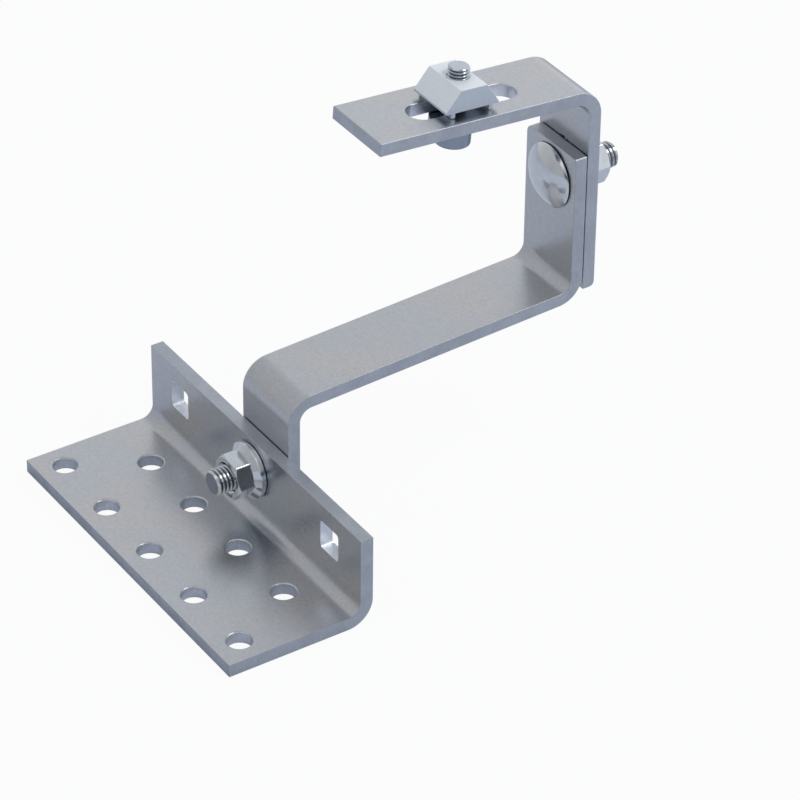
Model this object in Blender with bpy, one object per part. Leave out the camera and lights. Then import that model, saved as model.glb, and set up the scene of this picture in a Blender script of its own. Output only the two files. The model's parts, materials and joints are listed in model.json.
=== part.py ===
"""Adjustable solar roof hook.

A bent base plate is screwed to the rafter, a Z-shaped arm carries an L-shaped
rail bracket, and a clamp block on the bracket holds the mounting rail.
X runs along the base plate, Y from the base plate out along the arm, Z up.
The origin is the middle of the base plate's flat underside.
"""
import math

import bmesh
import bpy
from mathutils import Matrix, Vector

# Sizes of the sheet parts, in metres
FIT_GAP = 0.0003            # left between faces that touch
EDGE_ROUND = 0.00035        # worn edge of every sheared strap
HOLE_EASE = 0.0004          # chamfer at the rim of a punched hole

BASE_LENGTH = 0.140
BASE_DEPTH = 0.0578
BASE_THICK = 0.005
FLANGE_HEIGHT = 0.0358
BASE_BEND = 0.005           # inside radius
SCREW_HOLE = 0.009
SCREW_HOLE_EASE = 0.0007    # the round holes are deburred deeper
OUTER_ROW_COUNT = 5
OUTER_ROW_INSET = 0.0102    # from the free edge to the outer row
OUTER_ROW_MARGIN = 0.010    # from the plate's end to the row's end hole
ROW_SPACING = 0.027
SQUARE_HOLE = 0.011
SQUARE_HOLE_MARGIN = 0.020  # from the plate's end to its square hole
SQUARE_HOLE_HEIGHT = 0.0235

STRAP_WIDTH = 0.030
STRAP_THICK = 0.005

ARM_REACH = 0.1194          # between the two legs' faces that look at the base
ARM_LOW_HEIGHT = 0.0579     # top face of the run over the lower leg
ARM_RISE = math.radians(2.4)
ARM_BEND = 0.005
ARM_TOP_HEIGHT = 0.1176
ARM_FAR_CORNER = 0.003
ARM_NEAR_CORNER = 0.0008
ARM_BOLT_DROP = 0.0136      # from the arm's top end to its bolt
ARM_END_MARGIN = 0.015      # from the lower bolt to the lower end

BRACKET_BEND = 0.006
BRACKET_RISE = math.radians(4.57)
BRACKET_LEG = 0.0824        # outer height of the leg
BRACKET_TOP = 0.0925        # outer length of the top leg
BRACKET_CORNER_HEIGHT = 0.0263   # outer corner over the arm's top end
BRACKET_FOOT_ROUND = 0.002
LEG_SLOT_WIDTH = 0.011
LEG_SLOT_TOP_MARGIN = 0.0261     # from the outer corner to the slot
LEG_SLOT_FOOT_MARGIN = 0.0073
TOP_SLOT_WIDTH = 0.011
TOP_SLOT_MARGIN = 0.0199    # from the tip to the slot
TOP_SLOT_BEND_MARGIN = 0.0283    # from the slot to the outer corner
TOP_SLOT_SHIFT = 0.0016     # the slot is punched off the strap's middle

# Sizes of the fasteners
BOLT_CREST = 0.0049         # radius over the thread
BOLT_LENGTH = 0.0267        # under the head
BOLT_HEAD_RADIUS = 0.01233
BOLT_HEAD_HEIGHT = 0.0052
BOLT_HEAD_RIM = 0.0006
BOLT_NECK = 0.0099
BOLT_NECK_DEPTH = 0.0046
BOLT_END_CHAMFER = 0.0013

NUT_FLATS = 0.015
NUT_HEIGHT = 0.010
NUT_FLANGE_RADIUS = 0.0105
NUT_FLANGE_RIM = 0.0011
NUT_SKIRT_TOP_RADIUS = 0.0080
NUT_SKIRT_HEIGHT = 0.0032
NUT_CHAMFER_RADIUS = 0.0071
BASE_NUT_TURN = math.radians(22.3)
BRACKET_NUT_TURN = math.radians(36)
THREAD_GAP = 0.0003

CLAMP_PLACE = 0.0400        # from the bracket's tip to the clamp screw
CLAMP_SHIFT = 0.0010
BLOCK_LENGTH = 0.020
BLOCK_FOOT_WIDTH = 0.022
BLOCK_TOP_WIDTH = 0.0108
BLOCK_HEIGHT = 0.0084
BLOCK_LIP = 0.0008
BLOCK_CORNER = 0.0009
BLOCK_RIB_HEIGHT = 0.0018
BLOCK_RIB_WIDTH = 0.0016
BLOCK_RIB_PLACE = 0.0078    # from the middle of the block to each rib

SCREW_CREST = 0.0039
SCREW_LENGTH = 0.0216
SCREW_HEAD_RADIUS = 0.0065
SCREW_HEAD_HEIGHT = 0.008
SCREW_HEAD_ROUND = 0.0008
SCREW_SOCKET = 0.006        # across the flats
SCREW_SOCKET_DEPTH = 0.004
SCREW_END_CHAMFER = 0.0006
WASHER_RADIUS = 0.009
WASHER_THICK = 0.002

RING = 48                   # points round a turned piece
BEND_STEPS = 10

# Places and lengths worked out from the sizes
SCREW_PITCH = (BASE_LENGTH - 2 * OUTER_ROW_MARGIN) / (OUTER_ROW_COUNT - 1)
SQUARE_HOLE_SPACING = BASE_LENGTH / 2 - SQUARE_HOLE_MARGIN
LEG_SLOT_LENGTH = BRACKET_LEG - LEG_SLOT_TOP_MARGIN - LEG_SLOT_FOOT_MARGIN
TOP_SLOT_LENGTH = BRACKET_TOP - TOP_SLOT_MARGIN - TOP_SLOT_BEND_MARGIN
FLANGE_FACE = (BASE_DEPTH + BASE_THICK + BASE_BEND) / 2
ARM_FACE = FLANGE_FACE + FIT_GAP
ARM_OUT_FACE = ARM_FACE + ARM_REACH
BRACKET_FACE = ARM_OUT_FACE + STRAP_THICK + FIT_GAP
BRACKET_BACK = BRACKET_FACE + STRAP_THICK
TOP_BOLT_HEIGHT = ARM_TOP_HEIGHT - ARM_BOLT_DROP
BRACKET_CORNER = ARM_TOP_HEIGHT + BRACKET_CORNER_HEIGHT
NUT_BORE = BOLT_CREST + THREAD_GAP
SCREW_BORE = SCREW_CREST + THREAD_GAP


def clear_scene():
    for obj in list(bpy.data.objects):
        bpy.data.objects.remove(obj, do_unlink=True)


def material(name, colour, roughness, metallic):
    mat = bpy.data.materials.new(name)
    mat.use_nodes = True
    shader = mat.node_tree.nodes["Principled BSDF"]
    shader.inputs["Base Color"].default_value = (*colour, 1)
    shader.inputs["Roughness"].default_value = roughness
    shader.inputs["Metallic"].default_value = metallic
    mat.diffuse_color = (*colour, 1)
    return mat


def new_object(name, bm, mat=None, parent=None):
    bmesh.ops.recalc_face_normals(bm, faces=bm.faces)
    mesh = bpy.data.meshes.new(name)
    bm.to_mesh(mesh)
    bm.free()
    obj = bpy.data.objects.new(name, mesh)
    bpy.context.scene.collection.objects.link(obj)
    if mat:
        mesh.materials.append(mat)
    obj.parent = parent
    return obj


def empty(name, place, parent=None):
    obj = bpy.data.objects.new(name, None)
    bpy.context.scene.collection.objects.link(obj)
    obj.empty_display_size = 0.01
    obj.location = place
    obj.parent = parent
    return obj


def shade_round(obj, degrees=32):
    obj.data.shade_smooth()
    obj.data.set_sharp_from_angle(angle=math.radians(degrees))


def round_edges(obj, width=EDGE_ROUND):
    bevel = obj.modifiers.new("worn_edges", 'BEVEL')
    bevel.width = width
    bevel.segments = 2
    bevel.limit_method = 'ANGLE'
    bevel.angle_limit = math.radians(40)


def cut(obj, cutter):
    cutter.parent = obj.parent
    cutter.hide_render = True
    cutter.display_type = 'WIRE'
    boolean = obj.modifiers.new("holes", 'BOOLEAN')
    boolean.operation = 'DIFFERENCE'
    boolean.object = cutter


def fillet(points, radii):
    """A chain of 2-D points with each inner corner rounded."""
    chain = [points[0]]
    for before, corner, after, radius in zip(points, points[1:], points[2:], radii):
        back = (before - corner).normalized()
        ahead = (after - corner).normalized()
        half = back.angle(ahead) / 2
        reach = radius / math.tan(half)
        centre = corner + (back + ahead).normalized() * radius / math.sin(half)
        start = corner + back * reach - centre
        turn = start.angle_signed(corner + ahead * reach - centre)
        for step in range(BEND_STEPS + 1):
            chain.append(centre + Matrix.Rotation(-turn * step / BEND_STEPS, 2) @ start)
    chain.append(points[-1])
    return chain


def offset_chain(points, distance):
    """The chain moved to its right-hand side, with mitred corners."""
    sides = []
    for start, end in zip(points, points[1:]):
        ahead = (end - start).normalized()
        sides.append(Vector((ahead.y, -ahead.x)))
    moved = [points[0] + sides[0] * distance]
    for corner, one, two in zip(points[1:], sides, sides[1:]):
        middle = (one + two).normalized()
        moved.append(corner + middle * distance / middle.dot(one))
    moved.append(points[-1] + sides[-1] * distance)
    return moved


def sheet_section(points, thick, bend):
    """Closed section of a bent sheet whose left-hand face runs through the points."""
    left_radii = []
    right_radii = []
    for before, corner, after in zip(points, points[1:], points[2:]):
        turns_right = (corner - before).angle_signed(after - corner) > 0
        left_radii.append(bend + thick if turns_right else bend)
        right_radii.append(bend if turns_right else bend + thick)
    left = fillet(points, left_radii)
    right = fillet(offset_chain(points, thick), right_radii)
    return left + right[::-1]


def extrude_section(section, width):
    """A Y-Z section carried along X."""
    bm = bmesh.new()
    ring = [bm.verts.new((-width / 2, y, z)) for y, z in section]
    face = bm.faces.new(ring)
    grown = bmesh.ops.extrude_face_region(bm, geom=[face])
    moved = [item for item in grown["geom"] if isinstance(item, bmesh.types.BMVert)]
    bmesh.ops.translate(bm, verts=moved, vec=(width, 0, 0))
    return bm


def round_corner(bm, height, side, radius):
    """Round the corner of a strap's upper end, seen along the thickness."""
    edges = []
    for edge in bm.edges:
        if all(abs(v.co.z - height) < 1e-6 and v.co.x * side > 0 for v in edge.verts):
            edges.append(edge)
    bmesh.ops.bevel(bm, geom=edges, offset=radius, segments=6, profile=0.5, affect='EDGES')


def join_loops(bm, loops, capped=True):
    """Faces between loops of vertices, closed by caps or back onto the first loop."""
    pairs = list(zip(loops, loops[1:]))
    if not capped:
        pairs.append((loops[-1], loops[0]))
    for one, two in pairs:
        for index in range(RING):
            after = (index + 1) % RING
            bm.faces.new((one[index], one[after], two[after], two[index]))
    if capped:
        bm.faces.new(loops[0])
        bm.faces.new(loops[-1])


def loft(bm, rings, place, capped=True, turn=0.0):
    """Join rings round an axis; each ring gives (radius, depth) at an angle."""
    loops = []
    for ring in rings:
        loop = []
        for index in range(RING):
            angle = turn + 2 * math.pi * index / RING
            radius, depth = ring(angle)
            loop.append(bm.verts.new(place(radius * math.cos(angle),
                                           radius * math.sin(angle), depth)))
        loops.append(loop)
    join_loops(bm, loops, capped)


def circle(radius, depth):
    return lambda angle: (radius, depth)


def polygon_radius(angle, flats, sides, turn=0.0):
    """Distance from the middle to a regular polygon's side, at an angle."""
    share = 2 * math.pi / sides
    off = (angle - turn + share / 2) % share - share / 2
    return flats / 2 / math.cos(off)


def square(flats, depth):
    return lambda angle: (polygon_radius(angle, flats, 4), depth)


def along_y(centre, direction):
    """Axis along Y: depth grows in the given direction."""
    return lambda u, v, depth: (centre.x + u, centre.y + direction * depth, centre.z + v)


def along_z(centre, direction):
    return lambda u, v, depth: (centre.x + u, centre.y + v, centre.z + direction * depth)


def round_points(reach):
    angles = [2 * math.pi * index / RING for index in range(RING)]
    return [(reach * math.cos(a), reach * math.sin(a)) for a in angles]


def square_points(reach):
    angles = [2 * math.pi * index / RING for index in range(RING)]
    radii = [polygon_radius(a, 2 * reach, 4) for a in angles]
    return [(r * math.cos(a), r * math.sin(a)) for a, r in zip(angles, radii)]


def slot_points(straight):
    """A slot's outline, with its straight part along the second axis."""
    def points(reach):
        angles = [2 * math.pi * (index + 0.5) / RING for index in range(RING)]
        return [(reach * math.cos(a),
                 reach * math.sin(a) + math.copysign(straight / 2, math.sin(a)))
                for a in angles]
    return points


def hole_tool(bm, half, thick, place, points, ease=HOLE_EASE):
    """A cutter through a sheet, flared at both faces to ease the hole's rims."""
    over = 0.001
    face = thick / 2
    steps = ((half + ease + over, -face - over), (half, -face + ease),
             (half, face - ease), (half + ease + over, face + over))
    loops = []
    for reach, depth in steps:
        loops.append([bm.verts.new(place(u, v, depth)) for u, v in points(reach)])
    join_loops(bm, loops)


def build_base_plate(mat):
    free_edge = FLANGE_FACE - BASE_DEPTH
    corners = [Vector((FLANGE_FACE, FLANGE_HEIGHT)), Vector((FLANGE_FACE, 0)),
               Vector((free_edge, 0))]
    section = sheet_section(corners, BASE_THICK, BASE_BEND)
    plate = new_object("base_plate", extrude_section(section, BASE_LENGTH), mat)
    round_edges(plate)
    holes = bmesh.new()
    for row in range(2):
        count = OUTER_ROW_COUNT - row
        for index in range(count):
            centre = Vector(((index - (count - 1) / 2) * SCREW_PITCH,
                             free_edge + OUTER_ROW_INSET + row * ROW_SPACING,
                             BASE_THICK / 2))
            hole_tool(holes, SCREW_HOLE / 2, BASE_THICK, along_z(centre, 1),
                      round_points, SCREW_HOLE_EASE)
    for step in (-1, 0, 1):
        centre = Vector((step * SQUARE_HOLE_SPACING, FLANGE_FACE - BASE_THICK / 2,
                         SQUARE_HOLE_HEIGHT))
        hole_tool(holes, SQUARE_HOLE / 2, BASE_THICK, along_y(centre, 1), square_points)
    cut(plate, new_object("base_plate_holes", holes))
    return plate


def build_hook_arm(mat):
    run_end = ARM_LOW_HEIGHT + ARM_REACH * math.tan(ARM_RISE)
    corners = [Vector((ARM_FACE, SQUARE_HOLE_HEIGHT - ARM_END_MARGIN)),
               Vector((ARM_FACE, ARM_LOW_HEIGHT)),
               Vector((ARM_OUT_FACE, run_end)),
               Vector((ARM_OUT_FACE, ARM_TOP_HEIGHT))]
    section = sheet_section(corners, STRAP_THICK, ARM_BEND)
    bm = extrude_section(section, STRAP_WIDTH)
    round_corner(bm, ARM_TOP_HEIGHT, -1, ARM_FAR_CORNER)
    round_corner(bm, ARM_TOP_HEIGHT, 1, ARM_NEAR_CORNER)
    arm = new_object("hook_arm", bm, mat)
    round_edges(arm)
    holes = bmesh.new()
    for face, height in ((ARM_FACE, SQUARE_HOLE_HEIGHT), (ARM_OUT_FACE, TOP_BOLT_HEIGHT)):
        centre = Vector((0, face + STRAP_THICK / 2, height))
        hole_tool(holes, SQUARE_HOLE / 2, STRAP_THICK, along_y(centre, 1), square_points)
    cut(arm, new_object("hook_arm_holes", holes))
    return arm


def bracket_frame():
    """Outer corner of the bracket, and the direction of its top leg."""
    corner = Vector((BRACKET_BACK, BRACKET_CORNER))
    ahead = Vector((-math.cos(BRACKET_RISE), math.sin(BRACKET_RISE)))
    return corner, ahead


def build_rail_bracket(mat, carrier):
    corner, ahead = bracket_frame()
    tip = corner + ahead * BRACKET_TOP
    foot = corner - Vector((0, BRACKET_LEG))
    section = sheet_section([tip, corner, foot], STRAP_THICK, BRACKET_BEND)
    shift = Vector((carrier.location.y, carrier.location.z))
    bm = extrude_section([point - shift for point in section], STRAP_WIDTH)
    foot_edge = [edge for edge in bm.edges
                 if all(abs(v.co.z - (foot - shift).y) < 1e-6
                        and abs(v.co.y - (foot - shift).x) < 1e-6 for v in edge.verts)]
    bmesh.ops.bevel(bm, geom=foot_edge, offset=BRACKET_FOOT_ROUND, segments=4,
                    profile=0.5, affect='EDGES')
    bracket = new_object("rail_bracket", bm, mat, carrier)
    round_edges(bracket)

    holes = bmesh.new()
    slot_middle = BRACKET_CORNER - LEG_SLOT_TOP_MARGIN - LEG_SLOT_LENGTH / 2
    centre = Vector((0, BRACKET_FACE + STRAP_THICK / 2, slot_middle)) - carrier.location
    hole_tool(holes, LEG_SLOT_WIDTH / 2, STRAP_THICK, along_y(centre, 1),
              slot_points(LEG_SLOT_LENGTH - LEG_SLOT_WIDTH))
    under = Vector((ahead.y, -ahead.x))
    middle = tip - ahead * (TOP_SLOT_MARGIN + TOP_SLOT_LENGTH / 2) - shift
    middle -= under * STRAP_THICK / 2

    def place(u, v, depth):
        point = middle - ahead * v + under * depth
        return (TOP_SLOT_SHIFT + u, point.x, point.y)
    hole_tool(holes, TOP_SLOT_WIDTH / 2, STRAP_THICK, place,
              slot_points(TOP_SLOT_LENGTH - TOP_SLOT_WIDTH))
    cut(bracket, new_object("rail_bracket_slots", holes))
    return bracket


def carriage_bolt(name, mat, seat, direction):
    """Domed head and square neck; the shank runs from the seat in the direction."""
    dome = (BOLT_HEAD_RADIUS ** 2 + (BOLT_HEAD_HEIGHT - BOLT_HEAD_RIM) ** 2)
    dome /= 2 * (BOLT_HEAD_HEIGHT - BOLT_HEAD_RIM)
    reach = math.asin(BOLT_HEAD_RADIUS / dome)
    rings = []
    for step in range(1, 9):
        tilt = reach * step / 8
        depth = -BOLT_HEAD_HEIGHT + dome * (1 - math.cos(tilt))
        rings.append(circle(dome * math.sin(tilt), depth))
    rings += [circle(BOLT_HEAD_RADIUS, 0),
              square(BOLT_NECK, 0),
              square(BOLT_NECK, BOLT_NECK_DEPTH),
              circle(BOLT_CREST, BOLT_NECK_DEPTH),
              circle(BOLT_CREST, BOLT_LENGTH - BOLT_END_CHAMFER),
              circle(BOLT_CREST - BOLT_END_CHAMFER, BOLT_LENGTH)]
    bm = bmesh.new()
    loft(bm, rings, along_y(seat, direction))
    bolt = new_object(name, bm, mat)
    shade_round(bolt)
    return bolt


def flange_nut(name, mat, seat, direction, turn):
    """Hexagon nut with a skirt that sits on the seat; turn is where its flats face."""
    slope = (NUT_SKIRT_HEIGHT - NUT_FLANGE_RIM) / (NUT_FLANGE_RADIUS - NUT_SKIRT_TOP_RADIUS)
    top_slope = math.tan(math.radians(30))

    def hexagon(angle):
        return polygon_radius(angle, NUT_FLATS, 6, turn)

    def skirt_meets(angle):
        radius = hexagon(angle)
        return radius, NUT_FLANGE_RIM + (NUT_FLANGE_RADIUS - radius) * slope

    def chamfer_meets(angle):
        radius = hexagon(angle)
        return radius, NUT_HEIGHT - (radius - NUT_CHAMFER_RADIUS) * top_slope

    ease = HOLE_EASE
    rings = [circle(NUT_BORE + ease, 0),
             circle(NUT_FLANGE_RADIUS, 0),
             circle(NUT_FLANGE_RADIUS, NUT_FLANGE_RIM),
             skirt_meets,
             chamfer_meets,
             circle(NUT_CHAMFER_RADIUS, NUT_HEIGHT),
             circle(NUT_BORE + ease, NUT_HEIGHT),
             circle(NUT_BORE, NUT_HEIGHT - ease),
             circle(NUT_BORE, ease)]
    bm = bmesh.new()
    loft(bm, rings, along_y(seat, direction), capped=False, turn=turn)
    nut = new_object(name, bm, mat)
    shade_round(nut, 25)
    return nut


def block_section():
    """Right half and left half of the clamp block's profile, above its ribs."""
    low = BLOCK_RIB_HEIGHT
    high = low + BLOCK_HEIGHT
    foot = BLOCK_FOOT_WIDTH / 2
    inner = BLOCK_RIB_PLACE - BLOCK_RIB_WIDTH / 2
    outer = BLOCK_RIB_PLACE + BLOCK_RIB_WIDTH / 2
    top = fillet([Vector((foot, low + BLOCK_LIP)), Vector((BLOCK_TOP_WIDTH / 2, high)),
                  Vector((0, high))], [BLOCK_CORNER])[:-1]
    tip = min(BLOCK_RIB_WIDTH, BLOCK_RIB_HEIGHT) / 4
    rib = [Vector((inner, low)), Vector((inner, tip)), Vector((inner + tip, 0)),
           Vector((outer - tip, 0)), Vector((outer, tip)), Vector((outer, low))]
    right = rib + [Vector((foot, low))] + top
    left = [Vector((-point.x, point.y)) for point in reversed(right)]
    return right + left


def build_clamp(block_mat, screw_mat, carrier):
    """The clamp's own frame has the strap's top face at Z = 0, with the screw at X = Y = 0."""
    lift = FIT_GAP
    section = [Vector((y, z + lift)) for y, z in block_section()]
    block = new_object("clamp_block", extrude_section(section, BLOCK_LENGTH), block_mat, carrier)
    round_edges(block, EDGE_ROUND / 2)
    bore = bmesh.new()
    middle = Vector((0, 0, lift + BLOCK_RIB_HEIGHT + BLOCK_HEIGHT / 2))
    hole_tool(bore, SCREW_BORE, BLOCK_HEIGHT, along_z(middle, 1), round_points)
    cut(block, new_object("clamp_block_bore", bore, None, carrier))

    under = -STRAP_THICK - FIT_GAP
    bm = bmesh.new()
    rings = [circle(SCREW_BORE, 0), circle(WASHER_RADIUS, 0),
             circle(WASHER_RADIUS, WASHER_THICK), circle(SCREW_BORE, WASHER_THICK)]
    loft(bm, rings, along_z(Vector((0, 0, under)), -1), capped=False)
    washer = new_object("clamp_washer", bm, screw_mat, carrier)
    shade_round(washer)
    round_edges(washer, EDGE_ROUND / 2)

    seat = Vector((0, 0, under - WASHER_THICK - FIT_GAP))
    ease = SCREW_HEAD_ROUND

    def hexagon(depth):
        return lambda angle: (polygon_radius(angle, SCREW_SOCKET, 6), depth)

    rings = [circle(SCREW_CREST - SCREW_END_CHAMFER, SCREW_LENGTH),
             circle(SCREW_CREST, SCREW_LENGTH - SCREW_END_CHAMFER),
             circle(SCREW_CREST, 0),
             circle(SCREW_HEAD_RADIUS, 0)]
    for step in range(5):
        angle = math.pi / 2 * step / 4
        rings.append(circle(SCREW_HEAD_RADIUS - ease + ease * math.cos(angle),
                            -SCREW_HEAD_HEIGHT + ease - ease * math.sin(angle)))
    rings += [hexagon(-SCREW_HEAD_HEIGHT),
              hexagon(-SCREW_HEAD_HEIGHT + SCREW_SOCKET_DEPTH)]
    bm = bmesh.new()
    loft(bm, rings, along_z(seat, 1))
    screw = new_object("clamp_screw", bm, screw_mat, carrier)
    shade_round(screw)


def main():
    clear_scene()
    blasted = material("blasted_steel", (0.44, 0.45, 0.46), 0.42, 1.0)
    arm_steel = material("arm_steel", (0.43, 0.44, 0.46), 0.42, 1.0)
    bracket_steel = material("bracket_steel", (0.45, 0.46, 0.46), 0.42, 1.0)
    polished = material("polished_steel", (0.62, 0.63, 0.65), 0.16, 1.0)
    cast = material("clamp_aluminium", (0.56, 0.60, 0.63), 0.40, 1.0)
    screw_steel = material("screw_steel", (0.52, 0.54, 0.58), 0.22, 1.0)

    build_base_plate(blasted)
    build_hook_arm(arm_steel)
    low_seat = Vector((0, ARM_FACE + STRAP_THICK + FIT_GAP, SQUARE_HOLE_HEIGHT))
    carriage_bolt("base_bolt", polished, low_seat, -1)
    low_nut = Vector((0, FLANGE_FACE - BASE_THICK - FIT_GAP, SQUARE_HOLE_HEIGHT))
    flange_nut("base_nut", polished, low_nut, -1, BASE_NUT_TURN)
    top_seat = Vector((0, ARM_OUT_FACE - FIT_GAP, TOP_BOLT_HEIGHT))
    carriage_bolt("bracket_bolt", polished, top_seat, 1)
    top_nut = Vector((0, BRACKET_BACK + FIT_GAP, TOP_BOLT_HEIGHT))
    flange_nut("bracket_nut", polished, top_nut, 1, BRACKET_NUT_TURN)

    bracket_slide = empty("bracket_slide", Vector((0, BRACKET_FACE, TOP_BOLT_HEIGHT)))
    build_rail_bracket(bracket_steel, bracket_slide)
    corner, ahead = bracket_frame()
    place = corner + ahead * (BRACKET_TOP - CLAMP_PLACE)
    clamp_slide = empty("clamp_slide",
                        Vector((CLAMP_SHIFT, place.x, place.y)) - bracket_slide.location,
                        bracket_slide)
    clamp_slide.rotation_euler.x = -BRACKET_RISE
    build_clamp(cast, screw_steel, clamp_slide)


main()
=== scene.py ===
# %% [markdown]
# # A solar roof hook
# The real hook is a rafter plate, a bent arm and a slotted rail bracket, all cut and folded from
# satin stainless sheet. Two carriage bolts with flange nuts hold them together, and a wedge of
# aluminium on top grips the rail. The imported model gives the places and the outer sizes, and it
# is never moved. Each piece is then made again by hand, with softer edges, real threads and
# worked-out finishes.

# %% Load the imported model
import json
import math

import bmesh
import bpy
from mathutils import Euler, Matrix, Vector


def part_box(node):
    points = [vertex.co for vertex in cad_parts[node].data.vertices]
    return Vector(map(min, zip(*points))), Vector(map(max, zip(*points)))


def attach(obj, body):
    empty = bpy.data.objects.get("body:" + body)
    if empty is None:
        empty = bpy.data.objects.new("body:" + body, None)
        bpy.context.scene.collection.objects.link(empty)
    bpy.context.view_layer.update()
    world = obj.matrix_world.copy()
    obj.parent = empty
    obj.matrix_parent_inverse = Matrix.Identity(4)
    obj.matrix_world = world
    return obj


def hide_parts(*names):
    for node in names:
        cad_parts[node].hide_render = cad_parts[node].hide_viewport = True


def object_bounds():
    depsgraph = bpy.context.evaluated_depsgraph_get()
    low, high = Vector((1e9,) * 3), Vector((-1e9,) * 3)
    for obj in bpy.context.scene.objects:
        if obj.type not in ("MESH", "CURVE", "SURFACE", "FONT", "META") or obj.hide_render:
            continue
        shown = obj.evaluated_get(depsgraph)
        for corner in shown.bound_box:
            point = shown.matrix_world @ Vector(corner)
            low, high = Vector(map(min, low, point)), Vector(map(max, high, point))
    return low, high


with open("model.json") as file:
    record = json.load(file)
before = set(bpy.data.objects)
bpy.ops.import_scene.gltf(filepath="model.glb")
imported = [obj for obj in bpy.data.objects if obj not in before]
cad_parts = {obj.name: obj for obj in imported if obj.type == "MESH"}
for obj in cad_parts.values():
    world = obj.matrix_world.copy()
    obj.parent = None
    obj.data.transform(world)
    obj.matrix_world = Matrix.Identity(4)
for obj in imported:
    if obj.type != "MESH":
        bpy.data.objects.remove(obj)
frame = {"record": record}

CAD_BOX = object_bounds()
MM = 0.001
SAME_PLACE = 1e-6           # in metres: points that are nearer than this are one point
print("CAD box in mm:", [[round(v / MM, 2) for v in corner] for corner in CAD_BOX])

# %% [markdown]
# ## Shader maths as sums
# Materials here are built from sums. This small class holds one wire of a material's node tree.
# Adding or multiplying wires adds the Math nodes, and `node` adds any other node.


# %% One wire of a node tree
class Wire:
    def __init__(self, tree, socket=None):
        self.tree = tree
        self.socket = socket

    def node(self, kind, settings=None, sockets=None, out=0):
        """Add a node: first its settings, then the values or wires of its sockets."""
        made = self.tree.nodes.new(kind)
        settings = dict(settings or {})
        stops = settings.pop("stops", None)
        for key, value in settings.items():
            setattr(made, key, value)
        if stops:
            ramp = made.color_ramp
            while len(ramp.elements) < len(stops):
                ramp.elements.new(0.5)
            for element, (place, grey) in zip(ramp.elements, stops):
                element.position = place
                element.color = (grey, grey, grey, 1)
        for key, value in (sockets or {}).items():
            if isinstance(value, Wire):
                self.tree.links.new(value.socket, made.inputs[key])
            else:
                made.inputs[key].default_value = value
        return Wire(self.tree, made.outputs[out])

    def math(self, operation, one, two):
        return self.node("ShaderNodeMath", {"operation": operation}, {0: one, 1: two})

    def __add__(self, other):
        return self.math('ADD', self, other)

    __radd__ = __add__

    def __sub__(self, other):
        return self.math('SUBTRACT', self, other)

    def __rsub__(self, other):
        return self.math('SUBTRACT', other, self)

    def __mul__(self, other):
        return self.math('MULTIPLY', self, other)

    __rmul__ = __mul__

    def between(self, low, high):
        """0 below low, 1 above high, and smooth between."""
        return self.node("ShaderNodeMapRange", {"interpolation_type": 'SMOOTHSTEP'},
                         {"Value": self, "From Min": low, "From Max": high})

    def mix(self, one, two):
        """Colour one where this wire is 0, colour two where it is 1."""
        return self.node("ShaderNodeMix", {"data_type": 'RGBA'}, {0: self, 6: one, 7: two}, out=2)

    def noise(self, scale, detail=2.0, roughness=0.5):
        """Noise in the coordinates that this wire carries."""
        return self.node("ShaderNodeTexNoise", None, {
            "Vector": self, "Scale": scale, "Detail": detail, "Roughness": roughness})

    def stretched(self, x, y, z):
        return self.node("ShaderNodeMapping", None, {"Vector": self, "Scale": (x, y, z)})

    def bump(self, strength, distance):
        return self.node("ShaderNodeBump", None, {
            "Height": self, "Strength": strength, "Distance": distance})


def new_material(name, metallic=1.0, roughness=0.4):
    """A material, its shader and a wire that carries the object's own coordinates."""
    material = bpy.data.materials.new(name)
    material.use_nodes = True
    shader = material.node_tree.nodes["Principled BSDF"]
    shader.inputs["Metallic"].default_value = metallic
    shader.inputs["Roughness"].default_value = roughness
    return material, shader, Wire(material.node_tree).node("ShaderNodeTexCoord", out=3)


def connect(shader, **wires):
    for name, wire in wires.items():
        wire.tree.links.new(wire.socket, shader.inputs[name.replace("_", " ")])


def tint(colour, factor=1.0):
    return tuple(min(value * factor, 1) for value in colour) + (1,)


# %% [markdown]
# ## Bead-blasted stainless
# Blasting with glass beads leaves a fine even grain that blurs every reflection. The grain is a
# bump from noise a quarter of a millimetre across. Wider noise shifts the grey between a warm and
# a cool tone and the gloss with it, because no blasted sheet is perfectly even. The cut sides of
# the sheet are a little darker, with faint lines that the cutting left across the thickness. The
# walls of the holes are brighter, because a punch burnishes the steel that it shears.


# %% Blasted sheet and its cut edge
def blasted_steel(name, warm, cool, roughness):
    material, shader, here = new_material(name)
    cloud = here.noise(45.0, 3.0, 0.55)
    fleck = here.noise(850.0, 2.0)
    patch = cloud.between(0.35, 0.65)
    speck = fleck.between(0.3, 0.7)
    dark = patch.mix(tint(warm, 0.95), tint(cool, 0.95))
    light = patch.mix(tint(warm, 1.04), tint(cool, 1.04))
    connect(shader, Base_Color=speck.mix(dark, light),
            Roughness=roughness - 0.03 + 0.05 * cloud + 0.04 * fleck,
            Normal=here.noise(3800.0, 2.0, 0.6).bump(0.35, 0.02 * MM))
    return material


def cut_steel(name, grey, roughness):
    material, shader, here = new_material(name)
    lines = here.stretched(1.0, 1.0, 0.25).noise(1600.0)
    cloud = here.noise(120.0)
    tone = 0.5 * lines.between(0.3, 0.7) + 0.5 * cloud.between(0.35, 0.65)
    connect(shader, Base_Color=tone.mix(tint(grey, 0.9), tint(grey, 1.1)),
            Roughness=roughness + 0.08 * cloud, Normal=lines.bump(0.3, 0.03 * MM))
    return material


sheet_finish = blasted_steel("blasted_stainless", warm=(0.58, 0.58, 0.585),
                             cool=(0.56, 0.58, 0.61), roughness=0.27)
edge_finish = cut_steel("cut_stainless_edge", (0.49, 0.52, 0.565), 0.40)
hole_finish = cut_steel("burnished_hole", (0.80, 0.83, 0.88), 0.36)

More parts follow.
